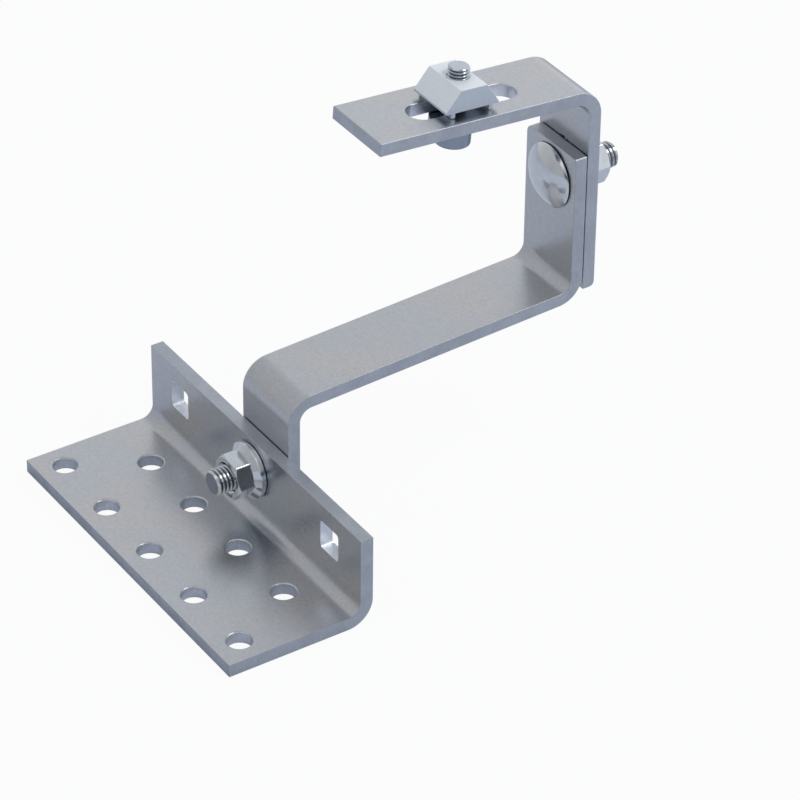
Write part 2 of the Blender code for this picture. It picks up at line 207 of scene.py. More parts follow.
# %% [markdown]
# ## Bright fasteners and pale aluminium
# The bolts and nuts are polished, so they mirror the studio, with a trace of waviness from the
# forging. The grooves of a thread are painted darker, as shade: each threaded piece carries an
# attribute, groove, which says how deep under the crest a point lies. The bolts' sheared ends are
# darker and bluish, and the same dark steel is painted shade on the clamp screw's head, its washer
# and the wedge's underside. The wedge is raw extruded aluminium: pale and matt, with fine lines
# along its length and upright saw marks on its ends. Its ends and lips are painted a darker grey
# as shade.


# %% Bright and pale metals
# The colour of painted shade deep in a thread's grooves
GROOVE_SHADE = (0.25, 0.26, 0.285, 1)


def bright_steel(name, grey, roughness):
    material, shader, here = new_material(name)
    wave = here.noise(260.0)
    groove = here.node("ShaderNodeAttribute", {"attribute_name": "groove"}, out=2)
    polished = wave.between(0.35, 0.65).mix(tint(grey, 0.93), tint(grey))
    # The deeper a point lies in a thread's groove, the more its colour turns to painted shade
    connect(shader,
            Base_Color=groove.between(0.15, 0.75).mix(polished, GROOVE_SHADE),
            Roughness=roughness + 0.05 * here.noise(1500.0) + 0.25 * groove,
            Normal=wave.bump(0.35, 0.06 * MM))
    return material


def raw_aluminium(name, grey, roughness, grain):
    """The grain is how much the noise is squeezed along each axis of the wedge."""
    material, shader, here = new_material(name, metallic=0.12)
    lines = here.stretched(*grain).noise(2600.0, 3.0)
    tone = 0.6 * lines.between(0.3, 0.7) + 0.4 * here.noise(150.0).between(0.3, 0.7)
    connect(shader, Base_Color=tone.mix(tint(grey, 0.94), tint(grey)),
            Roughness=roughness + 0.06 * lines, Normal=lines.bump(0.25, 0.02 * MM))
    return material


bolt_finish = bright_steel("bright_bolt", (0.75, 0.775, 0.795), 0.11)
nut_finish = bright_steel("bright_nut", (0.72, 0.76, 0.80), 0.05)
thread_finish = bright_steel("bright_screw", (0.60, 0.64, 0.70), 0.06)
# Dark bluish steel: the bolts' sheared ends have it, and it is painted shade on the cap head, washer
# and wedge underside
dark_steel_and_shade = bright_steel("dark_screw_head", (0.33, 0.38, 0.46), 0.20)
wedge_finish = raw_aluminium("drawn_aluminium", (0.90, 0.955, 1.0), 0.42,
                             grain=(0.06, 1.0, 1.0))
# Saw marks are real on the ends; the darker grey on the ends and lips is painted shade
sawn_and_shaded_finish = raw_aluminium("sawn_aluminium", (0.56, 0.63, 0.72), 0.50,
                            grain=(1.0, 0.5, 0.08))

# %% [markdown]
# ## Small tools for working by hand
# A primitive added from code is selected all over, and the model's own parts stay selected after
# loading, so everything is deselected first. Faces and edges are picked by their place, as an eye
# would pick them, and modifiers are applied as soon as they are set.


# %% Add, edit and finish
def add(name, primitive, **settings):
    """Add a mesh primitive with nothing else selected, and name it."""
    bpy.ops.object.select_all(action='DESELECT')
    getattr(bpy.ops.mesh, f"primitive_{primitive}_add")(**settings)
    piece = bpy.context.object
    piece.name = piece.data.name = name
    return piece


def only(piece):
    """Select this piece alone and make it active."""
    bpy.ops.object.select_all(action='DESELECT')
    piece.select_set(True)
    bpy.context.view_layer.objects.active = piece


def edit(piece, kind='VERT'):
    only(piece)
    bpy.ops.object.mode_set(mode='EDIT')
    bpy.ops.mesh.select_mode(type=kind)
    bpy.ops.mesh.select_all(action='DESELECT')


def done():
    bpy.ops.object.mode_set(mode='OBJECT')


def pick(piece, kind, test):
    """In edit mode, select the verts, edges or faces that pass the test, and no others."""
    bpy.ops.mesh.select_all(action='DESELECT')
    mesh = bmesh.from_edit_mesh(piece.data)
    found = [item for item in getattr(mesh, kind) if test(item)]
    for item in found:
        item.select_set(True)
    mesh.select_flush_mode()
    bmesh.update_edit_mesh(piece.data)
    return len(found)


def modify(piece, kind, **settings):
    """Add a modifier, set it and apply it."""
    only(piece)
    modifier = piece.modifiers.new(kind.lower(), kind)
    for key, value in settings.items():
        setattr(modifier, key, value)
    bpy.ops.object.modifier_apply(modifier=modifier.name)


def combine(piece, tool, operation):
    """Join, cut or keep the common part of two closed shapes; the tool is used up."""
    modify(piece, 'BOOLEAN', object=tool, operation=operation, solver='EXACT',
           material_mode='TRANSFER')
    bpy.data.objects.remove(tool, do_unlink=True)


def settle(piece, location=(0, 0, 0), rotation=(0, 0, 0)):
    """Put a piece in its place, and keep that place in its mesh."""
    piece.matrix_world = Matrix.LocRotScale(Vector(location), Euler(rotation), None)
    only(piece)
    bpy.ops.object.transform_apply(location=True, rotation=True, scale=True)


def finish(piece, material):
    """Give the whole piece one material."""
    piece.data.materials.clear()
    piece.data.materials.append(material)
    for face in piece.data.polygons:
        face.material_index = 0


def copied(piece, name):
    twin = piece.copy()
    twin.data = piece.data.copy()
    twin.name = twin.data.name = name
    bpy.context.scene.collection.objects.link(twin)
    return twin


# %% Draw a line and turn it on a lathe
def draw(name, points, close=False):
    """A line through the points: one vertex, extruded on and on. It stays in edit mode."""
    piece = add(name, "plane", size=0.01)
    edit(piece)
    bpy.ops.mesh.select_all(action='SELECT')
    bpy.ops.mesh.merge(type='CENTER')
    bpy.ops.transform.translate(value=points[0])
    for before, point in zip(points, points[1:]):
        bpy.ops.mesh.extrude_vertices_move(
            TRANSFORM_OT_translate={"value": Vector(point) - Vector(before)})
    if close:
        bpy.ops.mesh.select_all(action='SELECT')
        bpy.ops.mesh.edge_face_add()
    return piece


def tidy_mesh():
    """Merge what meets and turn every face outwards."""
    bpy.ops.mesh.select_all(action='SELECT')
    bpy.ops.mesh.remove_doubles(threshold=SAME_PLACE)
    bpy.ops.mesh.normals_make_consistent(inside=False)


def turned(name, profile, steps=96):
    """A lathe piece: (radius, height) points spun round the Z axis."""
    piece = draw(name, [Vector((radius, 0, height)) for radius, height in profile])
    bpy.ops.mesh.select_all(action='SELECT')
    bpy.ops.mesh.spin(steps=steps, angle=math.tau, center=(0, 0, 0), axis=(0, 0, 1))
    tidy_mesh()
    done()
    return piece


def arc(centre, radius, start, end, steps):
    """(radius, height) points along an arc, for a lathe profile."""
    points = []
    for step in range(steps + 1):
        angle = start + (end - start) * step / steps
        points.append((centre[0] + radius * math.cos(angle),
                       centre[1] + radius * math.sin(angle)))
    return points


# %% [markdown]
# ## Soft edges
# A sheared or machined edge is never knife-sharp: a strip a few tenths of a millimetre wide turns
# the corner and catches the light, which draws the bright outline that metal parts have. The Bevel
# modifier makes that strip. Weighted normals then let each large face decide its own shading, so
# the faces beside the strip stay flat.


# %% Soften the edges of a piece
def soften(piece, width, angle=30):
    only(piece)
    bpy.ops.object.shade_smooth()
    modify(piece, 'BEVEL', width=width, segments=3, limit_method='ANGLE',
           angle_limit=math.radians(angle))
    modify(piece, 'WEIGHTED_NORMAL', mode='FACE_AREA', weight=100)


def shade_smooth(piece, angle=35):
    """Smooth shading, except over edges that turn by more than the angle."""
    only(piece)
    bpy.ops.object.shade_smooth_by_angle(angle=math.radians(angle))


# %% [markdown]
# ## Reading the model
# The sheets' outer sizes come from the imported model. The sheet's thickness, its bend radii and the
# slopes are the maker's values.

# %% Sizes of the sheets
SHEET = 5 * MM
STRAP_WIDTH = 30 * MM
PLATE_BEND = 5 * MM
ARM_BEND = 5 * MM
BRACKET_BEND = 6 * MM
RUN_RISE = math.radians(2.4)
RAIL_RISE = math.radians(4.57)
BEND_STEPS = 20
SHEET_EDGE = 0.38 * MM

plate_low, plate_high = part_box("base_plate")
arm_low, arm_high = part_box("hook_arm")
bracket_low, bracket_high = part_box("rail_bracket")
openings = {space["name"]: space["box_m"] for space in frame["record"]["physics"]["openings"]}
print(len(openings), "openings read")


# %% [markdown]
# ## Folding sheet
# A press brake folds a flat blank along straight lines. Here the blank is drawn as the line that
# its side shows, swept to its width, and each corner is rounded by an edge bevel, which is the
# bend. Solidify then gives it its thickness on one side, with the inner and outer bend radii that
# a real fold has, and puts the second material, the cut edge, on the rims.


# %% Fold a sheet along a line
def fold(name, line, width, radii):
    """The line runs through (Y, Z) points on the sheet's left side, looking along +X."""
    line = [Vector(point) for point in line]
    piece = draw(name, [Vector((-width / 2, *point)) for point in line])
    bpy.ops.mesh.select_all(action='SELECT')
    bpy.ops.mesh.extrude_edges_move(TRANSFORM_OT_translate={"value": (width, 0, 0)})
    bpy.ops.mesh.select_mode(type='EDGE')
    for before, corner, after, radius in zip(line, line[1:], line[2:], radii):
        turn = (corner - before).angle(after - corner)
        pick(piece, "edges", lambda edge: all(
            abs(v.co.y - corner.x) < SAME_PLACE and abs(v.co.z - corner.y) < SAME_PLACE
            for v in edge.verts))
        bpy.ops.mesh.bevel(offset=radius * math.tan(turn / 2), segments=BEND_STEPS,
                           profile=0.5, affect='EDGES', clamp_overlap=False)
    done()
    piece.data.materials.append(sheet_finish)
    piece.data.materials.append(edge_finish)
    ahead = (line[1] - line[0]).normalized()
    right = Vector((0, ahead.y, -ahead.x))
    side = piece.data.polygons[0].normal.dot(right)
    modify(piece, 'SOLIDIFY', thickness=SHEET, offset=math.copysign(1, side),
           use_even_offset=True, material_offset_rim=1)
    edit(piece)
    tidy_mesh()
    done()
    return piece


# %% Make punches for the holes
def round_punch(radius, depth, wall=hole_finish):
    punch = add("punch", "cylinder", vertices=64, radius=radius, depth=depth)
    finish(punch, wall)
    return punch


def slot_punch(width, length, depth, wall):
    """A round punch drawn apart along Y."""
    punch = round_punch(width / 2, depth, wall)
    edit(punch)
    for side in (-1, 1):
        pick(punch, "verts", lambda v: v.co.y * side > SAME_PLACE)
        bpy.ops.transform.translate(value=(0, side * (length - width) / 2, 0))
    done()
    return punch


def round_upright_edges(bar, offset):
    """Round the long edges of a bar that stands along Z."""
    edit(bar, 'EDGE')
    pick(bar, "edges", lambda edge: abs(edge.verts[0].co.z - edge.verts[1].co.z) > MM)
    bpy.ops.mesh.bevel(offset=offset, segments=6, profile=0.5, affect='EDGES')
    done()


def square_bar(name, side, depth, corner):
    """A square bar along Z with rounded corners."""
    bar = add(name, "cube", size=side)
    edit(bar)
    bpy.ops.mesh.select_all(action='SELECT')
    bpy.ops.transform.resize(value=(1, 1, depth / side))
    done()
    round_upright_edges(bar, corner)
    return bar


SQUARE_HOLE = 11.4 * MM
SQUARE_HOLE_CORNER = 1.4 * MM
PUNCH_DEPTH = 3 * SHEET


def punch_square(piece, place):
    """A square hole for a carriage bolt's neck, through a sheet that faces Y."""
    punch = square_bar("punch", SQUARE_HOLE, PUNCH_DEPTH, SQUARE_HOLE_CORNER)
    finish(punch, hole_finish)
    settle(punch, place, (math.pi / 2, 0, 0))
    combine(piece, punch, 'DIFFERENCE')


# %% [markdown]
# ## The rafter plate
# Nine round screw holes in two staggered rows, three square holes in the flange. The round holes
# are deburred deeper than the rest, and their wide rims are the bright crescents in the photo, so
# those rims are beveled on their own before the edges of the whole plate are softened.

# %% Cut and fold the plate
HOLE_RADIUS = 4.5 * MM
HOLE_RIM = 0.7 * MM
ON_RIM = 0.01 * MM          # how far off the circle a rim's point may lie
FLANGE_HOLES = (-50 * MM, 0, 50 * MM)
FLANGE_HOLE_HEIGHT = 23.5 * MM

flange_face = plate_high.y
plate = fold("rafter_plate",
             [(flange_face, plate_high.z), (flange_face, 0), (plate_low.y, 0)],
             plate_high.x - plate_low.x, [PLATE_BEND + SHEET])
holes = []
for name, (low, high) in openings.items():
    if name.startswith("screw_hole"):
        holes.append(Vector(((low[0] + high[0]) / 2, (low[1] + high[1]) / 2, SHEET / 2)))
for hole in holes:
    punch = round_punch(HOLE_RADIUS, PUNCH_DEPTH)
    settle(punch, hole)
    combine(plate, punch, 'DIFFERENCE')
for x in FLANGE_HOLES:
    punch_square(plate, (x, flange_face - SHEET / 2, FLANGE_HOLE_HEIGHT))
print(len(holes), "round and", len(FLANGE_HOLES), "square holes")


# %% Deburr the round holes
def on_rim(edge):
    """True for an edge on a round hole's circle, in either face of the plate."""
    for hole in holes:
        if all(abs((v.co.xy - hole.xy).length - HOLE_RADIUS) < ON_RIM
               and min(abs(v.co.z), abs(v.co.z - SHEET)) < ON_RIM for v in edge.verts):
            return True
    return False


edit(plate, 'EDGE')
rims = pick(plate, "edges", on_rim)
bpy.ops.mesh.bevel(offset=HOLE_RIM, segments=3, profile=0.5, affect='EDGES')
done()
print(rims, "rim edges deburred")
soften(plate, SHEET_EDGE, angle=50)

# %% [markdown]
# ## The arm and the rail bracket
# Both are lengths of the same strap. The arm is folded twice, in opposite ways, so its left side
# is outside one bend and inside the other. One top corner of the arm is clipped round by the tool
# that cut the strap to length.

# %% Fold the arm
ARM_LOW_HEIGHT = 57.9 * MM
ARM_FAR_CORNER = 3 * MM
ARM_NEAR_CORNER = 0.8 * MM
ARM_BOLT_DROP = 13.6 * MM

arm_reach = arm_high.y - SHEET - arm_low.y
run_end = ARM_LOW_HEIGHT + arm_reach * math.tan(RUN_RISE)
arm = fold("arm",
           [(arm_low.y, arm_low.z), (arm_low.y, ARM_LOW_HEIGHT),
            (arm_high.y - SHEET, run_end), (arm_high.y - SHEET, arm_high.z)],
           STRAP_WIDTH, [ARM_BEND + SHEET, ARM_BEND])
edit(arm, 'EDGE')
for side, radius in ((-1, ARM_FAR_CORNER), (1, ARM_NEAR_CORNER)):
    pick(arm, "edges", lambda edge: all(
        v.co.x * side > 0 and abs(v.co.z - arm_high.z) < SAME_PLACE for v in edge.verts))
    bpy.ops.mesh.bevel(offset=radius, segments=8, profile=0.5, affect='EDGES')
done()
arm_bolt_height = arm_high.z - ARM_BOLT_DROP
for y, height in ((arm_low.y, FLANGE_HOLE_HEIGHT), (arm_high.y - SHEET, arm_bolt_height)):
    punch_square(arm, (0, y + SHEET / 2, height))
soften(arm, SHEET_EDGE, angle=50)

# %% Fold the rail bracket
CORNER_HEIGHT = 143.9 * MM
RAIL_LEG = 92.5 * MM
FOOT_ROUND = 2 * MM
SLOT_WIDTH = 11 * MM
LEG_SLOT = (25.7 * MM, 49.4 * MM)       # distance from the corner, length
RAIL_SLOT = (19.9 * MM, 44.3 * MM)      # distance from the tip, length
RAIL_SLOT_SHIFT = 1.6 * MM

corner = Vector((bracket_high.y, CORNER_HEIGHT))
ahead = Vector((-math.cos(RAIL_RISE), math.sin(RAIL_RISE)))
up = Vector((ahead.y, -ahead.x))
tip = corner + ahead * RAIL_LEG
bracket = fold("bracket", [tip, corner, (corner.x, bracket_low.z)],
               STRAP_WIDTH, [BRACKET_BEND + SHEET])
edit(bracket, 'EDGE')
pick(bracket, "edges", lambda edge: all(
    abs(v.co.z - bracket_low.z) < SAME_PLACE and abs(v.co.y - corner.x) < SAME_PLACE
    for v in edge.verts))
bpy.ops.mesh.bevel(offset=FOOT_ROUND, segments=6, profile=0.5, affect='EDGES')
done()

punch = slot_punch(SLOT_WIDTH, LEG_SLOT[1], PUNCH_DEPTH, edge_finish)
settle(punch, (0, corner.x - SHEET / 2, corner.y - LEG_SLOT[0] - LEG_SLOT[1] / 2),
       (math.pi / 2, 0, 0))
combine(bracket, punch, 'DIFFERENCE')
punch = slot_punch(SLOT_WIDTH, RAIL_SLOT[1], PUNCH_DEPTH, hole_finish)
middle = tip - ahead * (RAIL_SLOT[0] + RAIL_SLOT[1] / 2) - up * SHEET / 2
settle(punch, (RAIL_SLOT_SHIFT, *middle), (-RAIL_RISE, 0, 0))
combine(bracket, punch, 'DIFFERENCE')
soften(bracket, SHEET_EDGE, angle=50)
for piece in (plate, arm, bracket):
    print(piece.name, len(piece.data.polygons), "faces")

# %% [markdown]
# ## Threads
# A screw thread is one tooth carried round and up at once, which is what the Screw modifier does.
# It is made too long at both ends, and then only the part inside a chamfered rod is kept, which
# leaves the clean end that a thread-rolling machine leaves.

# %% Roll a thread
THREAD_FLAT = 0.06          # half of the flat at the crest, and at the root, in pitches
THREAD_DEPTH = 0.61         # in pitches
THREAD_STEPS = 48           # steps in one turn
TURNS_BELOW = 3             # turns that are rolled below the rod's lower end
TURNS_SPARE = 5             # turns more than the rod is long


def threaded_rod(name, crest, pitch, length, chamfer):
    """A threaded rod from height 0 up, with a chamfer at its upper end."""
    root = crest - THREAD_DEPTH * pitch
    tooth = [(root, 0), (root, THREAD_FLAT), (crest, 0.5 - THREAD_FLAT),
             (crest, 0.5 + THREAD_FLAT), (root, 1 - THREAD_FLAT), (root, 1)]
    rod = draw(name, [Vector((radius, 0, (place - TURNS_BELOW) * pitch))
                      for radius, place in tooth])
    done()
    modify(rod, 'SCREW', steps=THREAD_STEPS, render_steps=THREAD_STEPS,
           iterations=math.ceil(length / pitch) + TURNS_SPARE, screw_offset=pitch,
           use_merge_vertices=True, merge_threshold=SAME_PLACE)
    edit(rod)
    bpy.ops.mesh.select_all(action='SELECT')
    bpy.ops.mesh.remove_doubles(threshold=SAME_PLACE)
    bpy.ops.mesh.fill_holes(sides=0)
    tidy_mesh()
    done()
    clear = 0.1 * crest         # the chamfer is a cone that starts outside the thread
    outside = turned("rod_outside", [
        (0, 0), (crest + clear, 0), (crest + clear, length - chamfer - clear),
        (crest - chamfer, length), (0, length)], steps=64)
    combine(rod, outside, 'INTERSECT')
    return rod


def mark_grooves(piece, crest, pitch, start, stop):
    """Write on each point between two heights how deep it lies in the thread, 0 to 1."""
    marks = piece.data.attributes.new("groove", 'FLOAT', 'POINT')
    for vertex, mark in zip(piece.data.vertices, marks.data):
        depth = (crest - vertex.co.xy.length) / (THREAD_DEPTH * pitch)
        mark.value = min(max(depth, 0), 1) if start < vertex.co.z < stop else 0


# %% [markdown]
# ## Carriage bolts and flange nuts
# A carriage bolt has a low polished dome and a square neck that stops it turning in the square
# hole. The flange nut has its washer forged on, over a narrower ring that stands for the teeth
# under a real one. Its hexagon is a prism cut by a cone, which gives the curved arris at each
# corner.

# %% Forge a carriage bolt
HEAD_RADIUS = 12.33 * MM
HEAD_HEIGHT = 5.2 * MM
HEAD_RIM = 0.6 * MM
HEAD_ROLL = 0.35 * MM
DOME_STEPS = 16
NECK = 9.9 * MM
NECK_DEPTH = 4.6 * MM
NECK_CORNER = 0.5 * MM
NECK_SINK = 1 * MM          # how far the neck reaches into the dome
BOLT_LENGTH = 27.1 * MM
BOLT_CREST = 4.9 * MM
BOLT_PITCH = 1.5 * MM
BOLT_CHAMFER = 0.9 * MM
END_FACE = 0.1 * MM         # faces within this of the bolt's end are its sheared end


def dome_profile(radius, height, rim, roll):
    """From the dome's top down round its rolled rim and back under to the middle."""
    rise = height - rim
    sphere = (radius ** 2 + rise ** 2) / (2 * rise)
    reach = math.asin((radius - roll) / sphere)
    points = [(sphere * math.sin(reach * step / DOME_STEPS),
               -height + sphere * (1 - math.cos(reach * step / DOME_STEPS)))
              for step in range(DOME_STEPS + 1)]
    points += arc((radius - roll, -roll), roll, start=-0.9, end=math.pi / 2, steps=6)
    return points + [(0, 0)]


bolt = turned("carriage_bolt", dome_profile(HEAD_RADIUS, HEAD_HEIGHT, HEAD_RIM, HEAD_ROLL))
neck = square_bar("neck", NECK, NECK_DEPTH + NECK_SINK, NECK_CORNER)
settle(neck, (0, 0, (NECK_DEPTH - NECK_SINK) / 2))
combine(bolt, neck, 'UNION')
combine(bolt, threaded_rod("rod", BOLT_CREST, BOLT_PITCH, BOLT_LENGTH, BOLT_CHAMFER), 'UNION')
mark_grooves(bolt, BOLT_CREST, BOLT_PITCH, NECK_DEPTH, BOLT_LENGTH - BOLT_CHAMFER)
finish(bolt, bolt_finish)
bolt.data.materials.append(dark_steel_and_shade)
for face in bolt.data.polygons:
    if face.center.z > BOLT_LENGTH - END_FACE:
        face.material_index = 1
shade_smooth(bolt)
print("bolt:", len(bolt.data.polygons), "faces")

# %% Forge a flange nut
NUT_FLATS = 15.4 * MM
NUT_HEIGHT = 10.0 * MM
NUT_TOP_RADIUS = 7.6 * MM
NUT_TOP_SLOPE = math.pi / 6
NUT_CONE_RADIUS = 9.5 * MM              # clear of the hexagon's corners
NUT_ARRIS = 0.55 * MM
NUT_EDGE = 0.15 * MM
SEAT_RING = (10.3 * MM, 0.7 * MM)       # radius, height
FLANGE_RADIUS = 10.75 * MM
FLANGE_RIM = 2.0 * MM
FLANGE_ROLL = 0.45 * MM
SKIRT_RADIUS = 8.3 * MM
SKIRT_HEIGHT = 3.9 * MM
NUT_BORE = 5.15 * MM
NUT_SINK = 5.9 * MM

nut = add("flange_nut", "cylinder", vertices=6, radius=NUT_FLATS / 2 / math.cos(math.pi / 6),
          depth=NUT_HEIGHT)
round_upright_edges(nut, NUT_ARRIS)
settle(nut, (0, 0, NUT_HEIGHT / 2))
shoulder = NUT_HEIGHT - (NUT_CONE_RADIUS - NUT_TOP_RADIUS) * math.tan(NUT_TOP_SLOPE)
combine(nut, turned("cone", [
    (0, 0), (NUT_CONE_RADIUS, 0), (NUT_CONE_RADIUS, shoulder),
    (NUT_TOP_RADIUS, NUT_HEIGHT), (0, NUT_HEIGHT)]), 'INTERSECT')
ring_radius, ring_height = SEAT_RING
slope = math.atan2(FLANGE_RADIUS - SKIRT_RADIUS, SKIRT_HEIGHT - FLANGE_RIM)
combine(nut, turned("skirt", [
    (0, 0), (ring_radius, 0), (ring_radius, ring_height), (FLANGE_RADIUS, ring_height)]
    + arc((FLANGE_RADIUS - FLANGE_ROLL, FLANGE_RIM - FLANGE_ROLL / 2), FLANGE_ROLL, 0, slope, 4)
    + [(SKIRT_RADIUS, SKIRT_HEIGHT), (0, SKIRT_HEIGHT)]), 'UNION')
sink = NUT_SINK - NUT_BORE      # both ends of the bore are countersunk at 45 degrees
combine(nut, turned("bore", [
    (0, -MM), (NUT_SINK + MM, -MM), (NUT_BORE, sink), (NUT_BORE, NUT_HEIGHT - sink),
    (NUT_SINK + MM, NUT_HEIGHT + MM), (0, NUT_HEIGHT + MM)]), 'DIFFERENCE')
soften(nut, NUT_EDGE, angle=24)
finish(nut, nut_finish)
print("nut:", len(nut.data.polygons), "faces")

# %% [markdown]
# ## Setting the fasteners
# Both bolts are alike and so are both nuts, so each is made once and copied. The lower bolt points
# back over the plate, the upper one out through the bracket's slot. A bolt's neck has some play in
# its square hole, and in the photo the lower bolt has sunk to one corner of it.

# %% Copy them to their places
BACK = (math.pi / 2, 0, 0)
OUT = (-math.pi / 2, 0, 0)
BASE_NUT_TURN = math.radians(22.3)
BRACKET_NUT_TURN = math.radians(36)
NECK_PLAY = Vector((-0.7 * MM, 0, -0.25 * MM))
SEAT_TO_END = 26.7 * MM                 # from a bolt head's seat to its end, in the model

base_bolt, bracket_bolt = bolt, copied(bolt, "bolt_upper")
base_bolt.name = "bolt_lower"
base_seat = Vector((0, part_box("base_bolt")[0].y + SEAT_TO_END, FLANGE_HOLE_HEIGHT)) + NECK_PLAY
settle(base_bolt, base_seat, BACK)
settle(bracket_bolt, (0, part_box("bracket_bolt")[1].y - SEAT_TO_END, arm_bolt_height), OUT)

base_nut, bracket_nut = nut, copied(nut, "nut_upper")
base_nut.name = "nut_lower"
settle(base_nut, rotation=(0, 0, BASE_NUT_TURN))
settle(bracket_nut, rotation=(0, 0, -BRACKET_NUT_TURN))
settle(base_nut, (base_seat.x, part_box("base_nut")[1].y, base_seat.z), BACK)
settle(bracket_nut, (0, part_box("bracket_nut")[0].y, arm_bolt_height), OUT)

# %% [markdown]
# ## The rail clamp
# A wedge of extruded aluminium stands on two small ribs, so its section is drawn as a line, filled
# and pulled to its length. A cap-head screw comes up through the slot and shows a few threads.

# %% Cut the clamp block
CLAMP_FROM_TIP = 40 * MM
CLAMP_SHIFT = 1.0 * MM
BLOCK_LENGTH = 20 * MM
BLOCK_FOOT = 22 * MM
BLOCK_TOP = 10.8 * MM
BLOCK_HEIGHT = 8.4 * MM
BLOCK_LIP = 0.8 * MM
RIB_HEIGHT = 1.8 * MM
RIB_WIDTH = 1.6 * MM
RIB_PLACE = 7.8 * MM
SCREW_CREST = 3.98 * MM
SCREW_PITCH = 1.25 * MM
SCREW_LENGTH = 21.9 * MM
SCREW_CHAMFER = 0.6 * MM
WASHER_RADIUS = 9 * MM
WASHER_THICK = 2 * MM
FIT_GAP = 0.3 * MM
THREAD_GAP = 0.05 * MM
DRILL_DEPTH = 40 * MM
CLAMP_EDGE = 0.2 * MM
SQUARE_FACING = 0.9              # how squarely a face looks along X to be an end, or down to be the underside, and along Y to be a lip; ends and lips take a darker grey as painted shade
SQUARE_LIP_FACING = 0.95             # and along Y to be a lip

right_half = [(RIB_PLACE - RIB_WIDTH / 2, RIB_HEIGHT), (RIB_PLACE - RIB_WIDTH / 2, 0),
              (RIB_PLACE + RIB_WIDTH / 2, 0), (RIB_PLACE + RIB_WIDTH / 2, RIB_HEIGHT),
              (BLOCK_FOOT / 2, RIB_HEIGHT), (BLOCK_FOOT / 2, RIB_HEIGHT + BLOCK_LIP),
              (BLOCK_TOP / 2, RIB_HEIGHT + BLOCK_HEIGHT)]
section = right_half + [(-y, z) for y, z in reversed(right_half)]
block = draw("clamp_wedge", [Vector((-BLOCK_LENGTH / 2, y, z + FIT_GAP)) for y, z in section],
             close=True)
bpy.ops.mesh.select_all(action='SELECT')
bpy.ops.mesh.extrude_region_move(TRANSFORM_OT_translate={"value": (BLOCK_LENGTH, 0, 0)})
tidy_mesh()
done()
combine(block, round_punch(SCREW_CREST + THREAD_GAP, DRILL_DEPTH), 'DIFFERENCE')
soften(block, CLAMP_EDGE)
finish(block, wedge_finish)
block.data.materials.append(sawn_and_shaded_finish)
block.data.materials.append(dark_steel_and_shade)
for face in block.data.polygons:
    # Ends and lips, which look sideways, take the darker grey as painted shade
    if abs(face.normal.x) > SQUARE_FACING or abs(face.normal.y) > SQUARE_LIP_FACING:
        face.material_index = 1
    # The underside between the ribs is painted dark as shade
    elif face.normal.z < -SQUARE_FACING and face.center.z > RIB_HEIGHT:
        face.material_index = 2

# %% Turn the clamp screw and its washer
CAP_RADIUS = 6.5 * MM
CAP_HEIGHT = 8 * MM
CAP_SEAT_ROUND = 0.3 * MM
CAP_END_ROUND = 0.8 * MM
SOCKET = 6 * MM
SOCKET_DEPTH = 4 * MM

under = -SHEET - FIT_GAP
bore = SCREW_CREST + FIT_GAP
washer = turned("screw_washer", [
    (bore, under - WASHER_THICK), (bore, under), (WASHER_RADIUS, under),
    (WASHER_RADIUS, under - WASHER_THICK), (bore, under - WASHER_THICK)])
soften(washer, CLAMP_EDGE)
# The washer under the strap is painted dark as shade
finish(washer, dark_steel_and_shade)

screw = turned("cap_screw", [(0, 0)]
               + arc((CAP_RADIUS - CAP_SEAT_ROUND, -CAP_SEAT_ROUND), CAP_SEAT_ROUND,
                     start=math.pi / 2, end=0, steps=4)
               + arc((CAP_RADIUS - CAP_END_ROUND, -CAP_HEIGHT + CAP_END_ROUND), CAP_END_ROUND,
                     start=0, end=-math.pi / 2, steps=8)
               + [(0, -CAP_HEIGHT)])
socket = add("socket", "cylinder", vertices=6, radius=SOCKET / 2 / math.cos(math.pi / 6),
             depth=2 * SOCKET_DEPTH, location=(0, 0, -CAP_HEIGHT))
combine(screw, socket, 'DIFFERENCE')
# The cap head under the strap is painted dark as shade
finish(screw, dark_steel_and_shade)
rod = threaded_rod("rod", SCREW_CREST, SCREW_PITCH, SCREW_LENGTH + SCREW_PITCH, SCREW_CHAMFER)
settle(rod, (0, 0, -SCREW_PITCH))       # one turn of it is sunk in the cap
finish(rod, thread_finish)
combine(screw, rod, 'UNION')
mark_grooves(screw, SCREW_CREST, SCREW_PITCH, MM, SCREW_LENGTH - SCREW_CHAMFER)
shade_smooth(screw)
settle(screw, (0, 0, under - WASHER_THICK - FIT_GAP))

clamp_place = tip - ahead * CLAMP_FROM_TIP
for piece in (block, washer, screw):
    settle(piece, (CLAMP_SHIFT, *clamp_place), (-RAIL_RISE, 0, 0))
    print(piece.name, len(piece.data.polygons), "faces")

# %% [markdown]
# ## Which part each piece stands for
# Every piece takes the place of one part of the imported model, which is hidden, and rides on
# that part's body.

# %% Hand the pieces to the frame
stands_for = {
    plate: ("base_plate", "base"), arm: ("hook_arm", "base"),
    bracket: ("rail_bracket", "bracket"),
    base_bolt: ("base_bolt", "base"), base_nut: ("base_nut", "base"),
    bracket_bolt: ("bracket_bolt", "base"), bracket_nut: ("bracket_nut", "base"),
    block: ("clamp_block", "clamp"), washer: ("clamp_washer", "clamp"),
    screw: ("clamp_screw", "clamp"),
}
for piece, (node, body) in stands_for.items():
    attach(piece, body)
    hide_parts(node)


# %% [markdown]
# ## The studio
# The camera stands where the photograph's did: its lens and place were fitted to points of the
# photo. The floor is plain and pale, and bluish enough to tint the sides that mirror it. Camera
# rays see most of it as pure white, which keeps a faint shadow.

# %% Camera
CAMERA_PLACE = (1.0296, -0.5967, 0.9031)
CAMERA_TURN = (54.800, -0.613, 56.700)      # tilt, roll and heading in degrees

